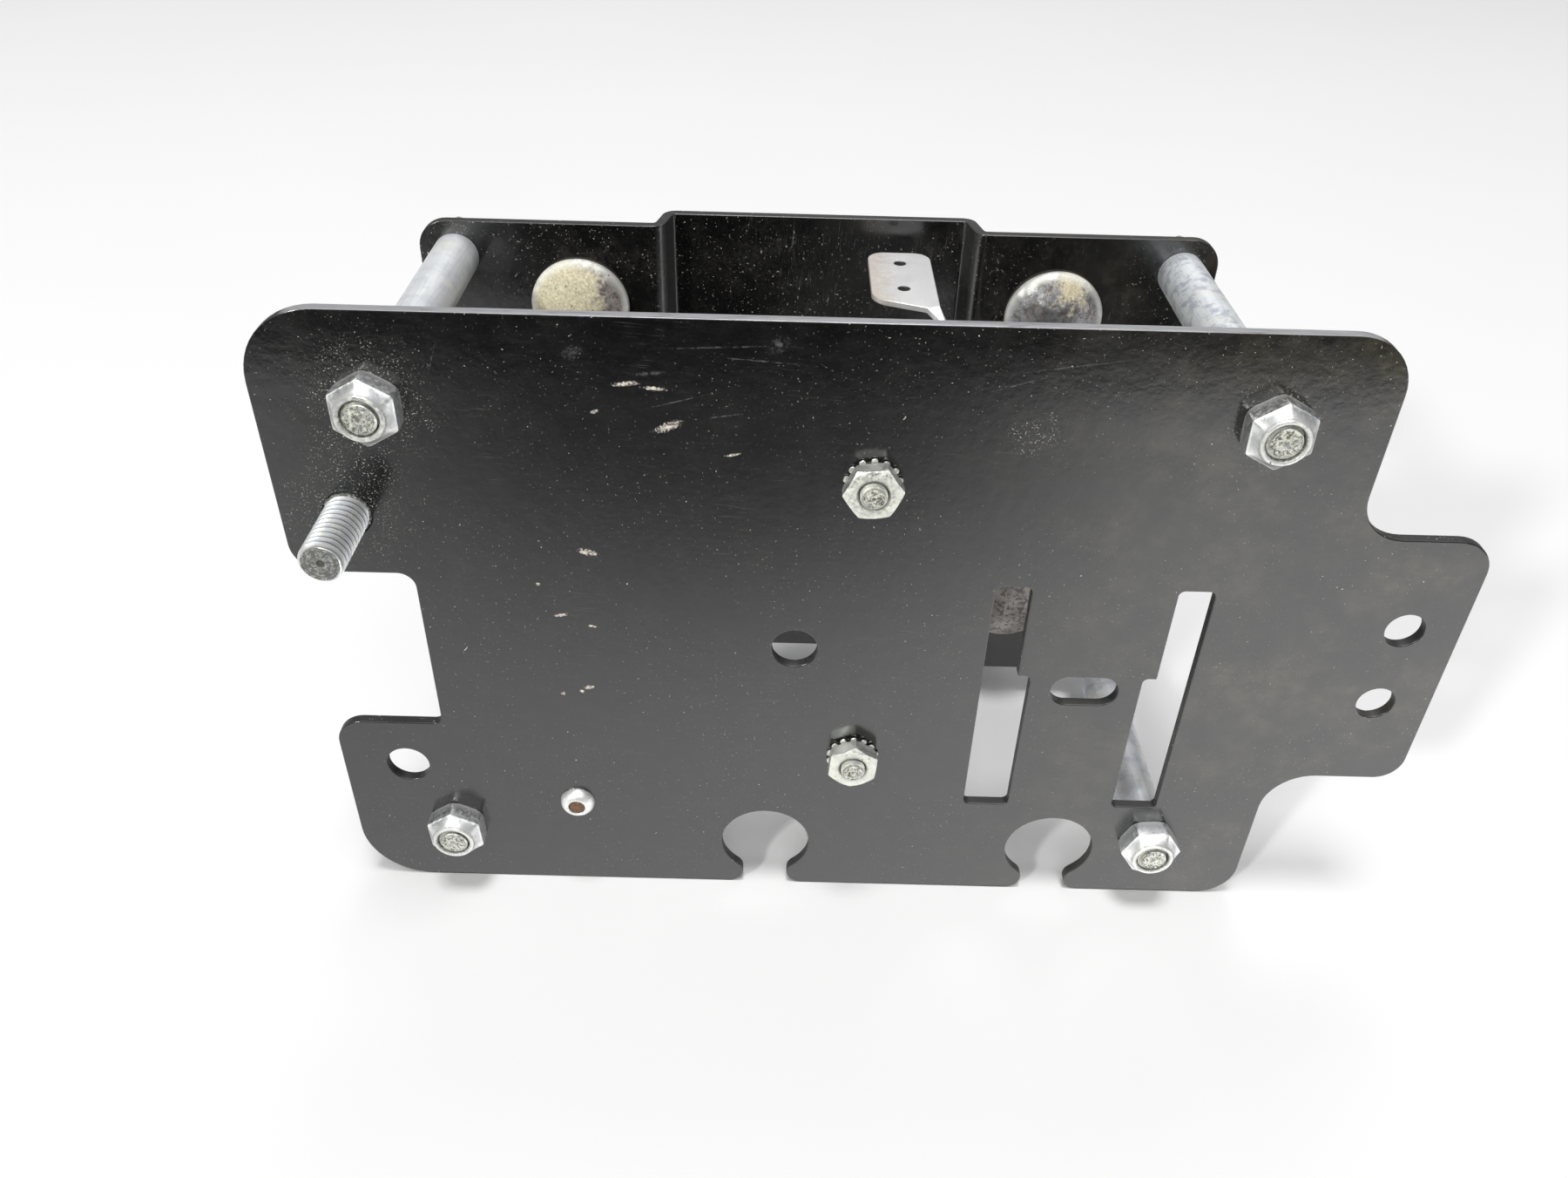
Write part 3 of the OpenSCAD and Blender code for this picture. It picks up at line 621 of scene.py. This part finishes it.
def edged_sheet(node, radius, material):
    """A copy of a CAD sheet whose cut edges are rounded, as paint rounds them."""
    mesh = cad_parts[node].data.copy()
    mesh.name = node + "_detail"
    work = bmesh.new()
    work.from_mesh(mesh)
    bmesh.ops.remove_doubles(work, verts=work.verts, dist=2e-6)
    bmesh.ops.dissolve_limit(
        work, angle_limit=math.radians(0.5), verts=work.verts, edges=work.edges, delimit={"NORMAL"}
    )
    rims = [e for e in work.edges if len(e.link_faces) == 2 and e.calc_face_angle(0) > math.radians(40)]
    bmesh.ops.bevel(
        work, geom=rims, offset=radius * MM, offset_type="OFFSET", segments=3, profile=0.5,
        affect="EDGES", clamp_overlap=False, miter_outer="SHARP",
    )
    bmesh.ops.triangulate(work, faces=[f for f in work.faces if len(f.verts) > 4])
    work.to_mesh(mesh)
    work.free()
    mesh.polygons.foreach_set("use_smooth", [True] * len(mesh.polygons))
    piece = bpy.data.objects.new(mesh.name, mesh)
    bpy.context.scene.collection.objects.link(piece)
    weigh = piece.modifiers.new("weigh", "WEIGHTED_NORMAL")
    weigh.mode = "FACE_AREA"
    weigh.weight = 90
    bpy.context.view_layer.update()
    shaded = bpy.data.meshes.new_from_object(piece.evaluated_get(bpy.context.evaluated_depsgraph_get()))
    piece.modifiers.clear()
    piece.data = shaded
    return place(piece, node, material)


def end_face(radius, dimple=0.35):
    """Rows of a sheared thread end: a centre dimple and two shallow rings, from the middle outwards."""
    return [
        (0.0, dimple, 0.9), (0.10 * radius, dimple * 0.95, 0.9), (0.20 * radius, dimple * 0.45, 0.5),
        (0.28 * radius, 0.05, 0.2), (0.44 * radius, 0.0, 0.1), (0.52 * radius, 0.06, 0.35),
        (0.60 * radius, 0.0, 0.1), (0.74 * radius, 0.02, 0.15), (0.80 * radius, 0.05, 0.5),
        (0.85 * radius, 0.02, 0.2),
    ]


def lock_nut(corner, turn, material):
    """All-metal lock nut: hexagon below, faceted crown that closes in to a round collar."""
    node = "lock_nut_" + corner
    front, back = span_of(node)
    height = (back - front) / MM
    flats, bore, collar = 11.1, 3.28, 4.3
    side = hexagon(flats)
    crown = height * 0.36
    shell = Shell(96, turn)
    profile = [
        (bore, 0.55, 1.0), (bore + 0.12, 0.22, 0.9), (bore + 0.30, 0.06, 0.5), (collar - 0.45, 0.0, 0.2),
        (collar - 0.12, 0.05, 0.2), (collar, 0.22, 0.55), (collar + 0.1, 0.36, 0.7),
    ]
    steps = 7
    for step in range(1, steps + 1):
        share = step / steps
        shape = lambda turns, share=share: (1 - share) * (collar + 0.1) + share * side(turns, 0.965)
        profile.append((shape, 0.36 + (crown - 0.36) * share, 0.35 * (1 - share)))
    profile += [
        (lambda turns: side(turns, 0.99), crown + 0.12, 0.1), (side, crown + 0.35, 0.0),
        (side, height * 0.72, 0.05), (side, height - 0.45, 0.2),
        (chamfered(side, flats * 0.555), height - 0.2, 0.4), (chamfered(side, flats * 0.53), height, 0.6),
        (bore, height, 0.6), (bore, height * 0.5, 1.0),
    ]
    shell.rows(profile, closed=True)
    piece = shell.build(node + "_detail", axis_of(node), front, sharp=24)
    return place(piece, node, material)


def through_bolt(corner, turn, material):
    """Hex bolt seen from its sheared thread end, with its head behind the rear bracket."""
    node = "through_bolt_" + corner
    front, back = span_of(node)
    length = (back - front) / MM
    radius, pitch, flats, head = 3.175, 1.27, 11.1, 4.0
    tip, threaded = 2.62, 10.2
    under = length - head
    side = hexagon(flats)
    shell = Shell(72, turn)
    shell.rows(end_face(tip, 0.12) + [(tip, 0.0, 0.3)])
    shell.thread(0.0, threaded, radius, pitch, lambda h: tip + 1.1 * h + 0.9 * np.maximum(h - 0.5, 0))
    shell.rows([(radius - 0.02, threaded, 0.2), (radius, threaded + 0.1, 0.1), (radius, under, 0.1),
                (5.2, under, 0.3), (5.2, under + 0.3, 0.3)])
    crown = [(chamfered(side, 6.3 - 0.15 * k), length - 0.72 + 0.12 * k, 0.1) for k in range(7)]
    shell.rows([(5.2, under + 0.3, 0.3), (side, under + 0.34, 0.2), (side, length - 0.75, 0.1)] + crown
               + [(4.6, length, 0.1), (4.2, length - 0.12, 0.5), (0.0, length - 0.12, 0.2)])
    piece = shell.build(node + "_detail", axis_of(node), front)
    return place(piece, node, material)


def spacer(corner, material):
    node = "spacer_" + corner
    front, back = span_of(node)
    length = (back - front) / MM
    outer, bore, edge = 4.75, 3.45, 0.3
    rings = [(outer, edge + (length - 2 * edge) * k / 12, 0.0) for k in range(13)]
    rim = outer - 0.09
    shell = Shell(64)
    shell.rows(
        [(bore, 0.2, 1.0), (bore + 0.2, 0.0, 0.8), (outer - edge, 0.0, 0.5), (rim, 0.09, 0.5)]
        + rings + [(rim, length - 0.09, 0.5), (outer - edge, length, 0.6), (bore + 0.2, length, 0.8),
                   (bore, length - 0.2, 1.0)],
        closed=True,
    )
    piece = shell.build(node + "_detail", axis_of(node), front)
    roughen(piece, 0.03, 6.0, 3.0)
    return place(piece, node, material)


def carriage_bolt(corner, seed, material):
    """Domed carriage bolt: pitted head in front, square neck in the bracket, thread behind."""
    node = "carriage_bolt_" + corner
    front, back = span_of(node)
    length = (back - front) / MM
    head_r, dome_h, rim_h = 10.5, 4.4, 0.9
    radius, pitch, neck = 4.7625, 1.5875, 4.5
    head = dome_h + rim_h
    sphere = (head_r * head_r + dome_h * dome_h) / (2 * dome_h)
    slice_at = [head_r * k / 22 for k in range(22)]
    dome = [(r, sphere - math.sqrt(sphere * sphere - r * r), 0.0) for r in slice_at]
    square = square_section(9.4)
    start = head + neck
    shell = Shell(96)
    shell.rows(
        dome + [(head_r - 0.22, dome_h - 0.2, 0.1), (head_r - 0.02, dome_h + 0.15, 0.2),
                (head_r - 0.02, head - 0.25, 0.4), (head_r - 0.25, head, 0.7), (7.0, head, 0.7),
                (square, head, 0.6), (square, start - 0.4, 0.3), (chamfered(square, 5.6), start, 0.5),
                (radius, start, 0.3)]
    )
    shell.thread(start, length, radius, pitch, lambda h: 4.05 + np.minimum((h - start) * 0.5, length - h))
    shell.rows([(4.05, length, 0.3)] + [(r, length - h, g) for r, h, g in reversed(end_face(4.05, 0.1))])
    piece = shell.build(node + "_detail", axis_of(node), front)
    roughen(piece, 0.16, 2.2, seed, where=lambda co: co.y < front + 4.2 * MM)
    return place(piece, node, material)


def side_stud(material):
    """Threaded stud in the upper left ear, with a serrated collar in the plate and a flat head behind."""
    node = "side_stud"
    front, back = span_of(node)
    length = (back - front) / MM
    plate_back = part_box("front_plate")[1].y
    reach = (0.0 - front) / MM
    head_at = (plate_back - front) / MM
    radius, pitch, tip = 3.97, 1.411, 3.28
    serrated = lambda turns: 4.18 + 0.1 * np.sign(np.sin(turns * 24))
    shell = Shell(96)
    shell.rows([(r, h + 0.06, min(1.0, g + 0.55)) for r, h, g in end_face(tip, 0.5)] + [(tip, 0.06, 0.7)])
    shell.thread(0.06, reach, radius, pitch, lambda h: np.minimum(tip + h, 3.8 + 2 * (reach - h)))
    shell.rows([(3.8, reach, 0.6), (serrated, reach, 0.6), (serrated, head_at, 0.6), (5.8, head_at, 0.4),
                (6.0, head_at + 0.25, 0.2), (6.0, length - 0.35, 0.1), (5.75, length - 0.08, 0.1),
                (5.3, length, 0.1), (0.0, length, 0.1)])
    piece = shell.build(node + "_detail", axis_of(node), front)
    roughen(piece, 0.05, 0.9, 7.0, where=lambda co: co.y < front + 0.3 * MM)
    return place(piece, node, material)


def rivet(body_material, pin_material):
    """Blind rivet: domed rim with a deep mouth, swelled blind end, and the pin broken off inside."""
    node = "rivet_body"
    front, back = span_of(node)
    length = (back - front) / MM
    rim, bore, shank, swell = 3.6, 1.66, 2.38, 3.25
    height = (0.0 - front) / MM
    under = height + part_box("front_plate")[1].y / MM
    dome = [(bore + (rim - bore) * math.sin(a), height - height * math.cos(a), 0.0)
            for a in [math.pi / 2 * k / 12 for k in range(2, 13)]]
    shell = Shell(72)
    blind = length - under
    bulge = [(shank + (swell - shank) * math.sin(math.pi * k / 10) ** 0.6, under + blind * k / 10, 0.1)
             for k in range(1, 10)]
    shell.rows(
        [(bore, 1.4, 1.0), (bore, 0.35, 0.8), (bore + 0.06, 0.14, 0.5), (bore + 0.2, 0.03, 0.2)] + dome
        + [(rim, height, 0.6), (shank, height, 0.6), (shank, under, 0.3)] + bulge
        + [(shank, length, 0.3), (bore, length, 0.8)],
        closed=True,
    )
    piece = shell.build(node + "_detail", axis_of(node), front)
    place(piece, node, body_material)

    node = "rivet_mandrel"
    front, back = span_of(node)
    length = (back - front) / MM
    pin = 1.6
    knob = length - 1.4
    break_face = [(0.0, 0.05, 0.5)] + [(pin * k / 8, 0.06, 0.5) for k in range(1, 8)]
    shell = Shell(40)
    shell.rows(break_face + [(pin - 0.05, 0.12, 0.5), (pin, 0.3, 0.5), (pin, knob, 0.5),
                             (2.3, knob + 0.05, 0.3), (2.6, knob + 0.4, 0.2), (2.1, knob + 1.05, 0.2),
                             (1.1, length - 0.04, 0.2), (0.0, length, 0.2)])
    piece = shell.build(node + "_detail", axis_of(node), front)
    roughen(piece, 0.22, 0.7, 11.0, where=lambda co: co.y < front + 0.2 * MM)
    place(piece, node, pin_material)


def keps_nut(level, turn, material):
    node = "keps_nut_" + level
    front, back = span_of(node)
    height = (back - front) / MM
    flats, bore = 9.5, 2.47
    side = hexagon(flats)
    crown = [(chamfered(side, 4.55 + 0.17 * k), 0.02 + 0.1 * k, 0.1) for k in range(1, 6)]
    shell = Shell(96, turn)
    shell.rows(
        [(bore, 0.75, 1.0), (bore + 0.1, 0.4, 1.0), (bore + 0.42, 0.08, 0.6), (bore + 0.6, 0.0, 0.2),
         (4.3, 0.0, 0.1)]
        + crown + [(side, 0.75, 0.0), (side, height - 0.5, 0.2), (chamfered(side, 5.1), height - 0.15, 0.5),
                   (chamfered(side, 4.7), height, 0.8), (bore, height, 0.8), (bore, height * 0.6, 1.0)],
        closed=True,
    )
    piece = shell.build(node + "_detail", axis_of(node), front, sharp=26)
    return place(piece, node, material)


def tooth_washer(level, material):
    """External tooth washer: a flat ring with rounded teeth, each twisted about its own middle."""
    node = "tooth_washer_" + level
    front, back = span_of(node)
    teeth, per_tooth = 14, 16
    root, tip, inner, half = 4.25, 5.33, 2.5, 0.26
    middle = (back - front) / MM / 2
    shell = Shell(teeth * per_tooth)
    phase = np.arange(teeth * per_tooth) % per_tooth / per_tooth * 2 - 1
    rounded = np.sqrt(np.clip(1 - (phase / 0.62) ** 4, 0, 1))
    outline = root + (tip - root) * rounded
    twist = 0.16 * np.clip(phase / 0.62, -1, 1) * rounded
    waist = root - 0.35
    rows = []
    for radius, lean, side in (
        (inner, 0, -1), (waist, 0, -1), (outline - 0.1, 1, -0.85), (outline, 1, -0.3),
        (outline, 1, 0.3), (outline - 0.1, 1, 0.85), (waist, 0, 1), (inner, 0, 1),
    ):
        radii = np.broadcast_to(radius, phase.shape)
        rows.append((lambda _, r=radii: r, middle + side * half + lean * twist, 0.1))
    shell.rows(rows, closed=True)
    piece = shell.build(node + "_detail", axis_of(node), front)
    return place(piece, node, material)


def harness_screw(level, material):
    """Pan head screw seen from its thread end; the head behind has a cross recess."""
    node = "harness_screw_" + level
    front, back = span_of(node)
    length = (back - front) / MM
    radius, pitch, tip = 2.4, 0.794, 1.85
    head = length - 2.7
    crown = [(4.6 * math.cos(a), head + 0.9 + 1.7 * math.sin(a), 0.1)
             for a in [math.pi / 2 * k / 8 for k in range(7)]]
    along = lambda turns: np.maximum(np.abs(np.cos(turns)), np.abs(np.sin(turns)))
    recess = lambda size: lambda turns: 0.55 + size * along(turns) ** 14
    shell = Shell(64)
    shell.rows(end_face(tip, 0.4) + [(tip, 0.0, 0.4)])
    shell.thread(0.0, head, radius, pitch, lambda h: tip + h)
    shell.rows(
        [(radius, head, 0.4), (4.45, head, 0.4), (4.6, head + 0.15, 0.2)] + crown
        + [(recess(1.35), length - 0.1, 0.6), (recess(0.9), length - 1.3, 1.0), (0.0, length - 1.6, 1.0)]
    )
    piece = shell.build(node + "_detail", axis_of(node), front)
    return place(piece, node, material)


# ---------------------------------------------------------------- the object

def dress_object():
    at = {node: tuple(value / MM for value in axis_of(node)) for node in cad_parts}
    plate_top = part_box("front_plate")[1].z / MM
    dusty = [(at["lock_nut_top_left"], 15.0), (at["side_stud"], 14.0), (at["lock_nut_top_right"], 11.0),
             ((39.5, 47.8), 6.0), ((-77.0, 40.0), 12.0)]
    front_paint = black_paint("front_paint", dusty, plate_top, chipped=True)
    rear_paint = black_paint("rear_paint", dust=1.3, streak=(0.30, 1.0, 6.0))
    edged_sheet("front_plate", PAINTED_EDGE, front_paint)
    edged_sheet("rear_bracket", PAINTED_EDGE, rear_paint)

    nut_zinc = zinc("nut_zinc", (0.98, 0.99, 0.99), (0.74, 0.75, 0.79), (0.86, 0.86, 0.74), 0.9, 0.26, 0.42)
    bolt_zinc = zinc(
        "bolt_zinc", (0.84, 0.85, 0.84), (0.58, 0.58, 0.57), (0.80, 0.80, 0.66), 1.0, 0.30, 0.46, soil=0.2
    )
    stud_zinc = zinc(
        "stud_zinc", (1.0, 1.0, 1.0), (0.76, 0.80, 0.86), (0.74, 0.74, 0.62), 0.35, 0.26, 0.40,
        groove=0.0, soil=0.24,
    )
    keps_zinc = zinc("keps_zinc", (0.86, 0.86, 0.84), (0.66, 0.66, 0.64), (0.84, 0.85, 0.73), 1.1, 0.34, 0.5)
    for corner, turn, stained in CORNERS:
        lock_nut(corner, turn, nut_zinc)
        through_bolt(corner, turn, bolt_zinc)
        spacer(corner, drawn_tube("spacer_tube_" + corner, stained))
    rear_face = span_of("rear_bracket")[0] / MM
    for seed, (corner, towards, share, crust, metal) in enumerate(HEADS):
        node = "carriage_bolt_" + corner
        skin = corroded("corroded_" + corner, at[node], rear_face, towards, share, crust, metal)
        carriage_bolt(corner, 5.0 * seed, skin)
    side_stud(stud_zinc)
    rivet(bright_aluminium("rivet_bright"), rusted("mandrel_rust"))
    for level, turn in (("upper", 5), ("lower", 26)):
        keps_nut(level, turn, keps_zinc)
        tooth_washer(level, keps_zinc)
        harness_screw(level, bolt_zinc)
    clip = pale_plate("clip_plate", (14.0, 52.0), ((20.0, 48.7), (20.0, 61.7)))
    edged_sheet("harness_bracket", CLIP_EDGE, clip)


# ---------------------------------------------------------------- floor, light and camera

def flat_panel(name, low, high, z, material):
    mesh = bpy.data.meshes.new(name)
    corners = [(low[0], low[1], z), (high[0], low[1], z), (high[0], high[1], z), (low[0], high[1], z)]
    mesh.from_pydata(corners, [], [(0, 1, 2, 3)])
    mesh.materials.append(material)
    panel = bpy.data.objects.new(name, mesh)
    bpy.context.scene.collection.objects.link(panel)
    return panel


def reflector():
    """What the paint mirrors in front: a glowing card on the floor that only reflections see, a painted
    reflection of the lit table.
    It is brighter towards the right and bright beside the bracket, dims in a painted shadow of a figure in
    the middle, and is nearly black past the table's edge."""
    look = Look("reflector_glow")
    # Painted shadow of a figure standing in front, dimming the mirrored light in the middle.
    figure = look.node("ShaderNodeVectorMath", operation="LENGTH")
    look.join(look.mapped((-28, -290, 0), size=(150, 200, 1e6)), figure.inputs[0])
    clear = look.ramp(figure.outputs["Value"], 0.45, 1.3, 0.16, 1.0)
    table = look.times(look.ramp(look.y, -255, -247, 0.01, 1.0), look.ramp(look.y, -240, -80, 0.82, 1.0))
    glow = look.node("ShaderNodeEmission")
    # Painted light falloff: the mirrored glow grows brighter towards the right.
    look.join(look.times(look.ramp(look.x, -150, 175, 1.05, 1.78), clear, table), glow.inputs["Strength"])
    look.join(glow.outputs[0], look.tree.nodes["Material Output"].inputs["Surface"])
    card = flat_panel("reflector", (-1.5, -2.0), (1.5, -0.0001), FLOOR_Z + 0.3 * MM, look.material)
    for kind in ("camera", "diffuse", "transmission", "volume_scatter", "shadow"):
        setattr(card, "visible_" + kind, False)


def soft_light(name, at, size, power, tint):
    lamp = bpy.data.lights.new(name, "AREA")
    lamp.shape = "DISK"
    lamp.size = size
    lamp.energy = power
    lamp.color = tint
    holder = bpy.data.objects.new(name, lamp)
    holder.location = at
    holder.rotation_euler = (Vector(LIT_POINT) - Vector(at)).to_track_quat("-Z", "Y").to_euler()
    bpy.context.scene.collection.objects.link(holder)


def studio():
    flat_panel("floor", (-4, -4), (4, 4), FLOOR_Z, pale_floor())
    reflector()
    world = bpy.data.worlds.new("studio")
    world.use_nodes = True
    backdrop = world.node_tree.nodes["Background"]
    backdrop.inputs["Color"].default_value = (0.97, 0.985, 1.0, 1.0)
    backdrop.inputs["Strength"].default_value = 0.24
    bpy.context.scene.world = world
    for name, at, size, power, tint in LIGHTS:
        soft_light(name, at, size, power, tint)


def camera():
    """The viewing angle: in front, above, looking down."""
    pitch, yaw, roll = (math.radians(angle) for angle in (PITCH, YAW, ROLL))
    ahead = Vector((math.sin(yaw) * math.cos(pitch), math.cos(yaw) * math.cos(pitch), -math.sin(pitch)))
    level = Vector((math.cos(yaw), -math.sin(yaw), 0))
    above = level.cross(ahead)
    right = math.cos(roll) * level + math.sin(roll) * above
    up = math.cos(roll) * above - math.sin(roll) * level
    lens = bpy.data.cameras.new("camera")
    lens.sensor_fit = "HORIZONTAL"
    lens.sensor_width = SENSOR_WIDTH
    lens.lens = FOCAL_LENGTH
    lens.clip_start = 0.01
    holder = bpy.data.objects.new("camera", lens)
    holder.matrix_world = Matrix.Translation(Vector(CAMERA_AT) * MM) @ Matrix(
        (right, up, -ahead)).transposed().to_4x4()
    bpy.context.scene.collection.objects.link(holder)
    bpy.context.scene.camera = holder


dress_object()
studio()
camera()
bpy.context.scene.view_settings.view_transform = "Standard"
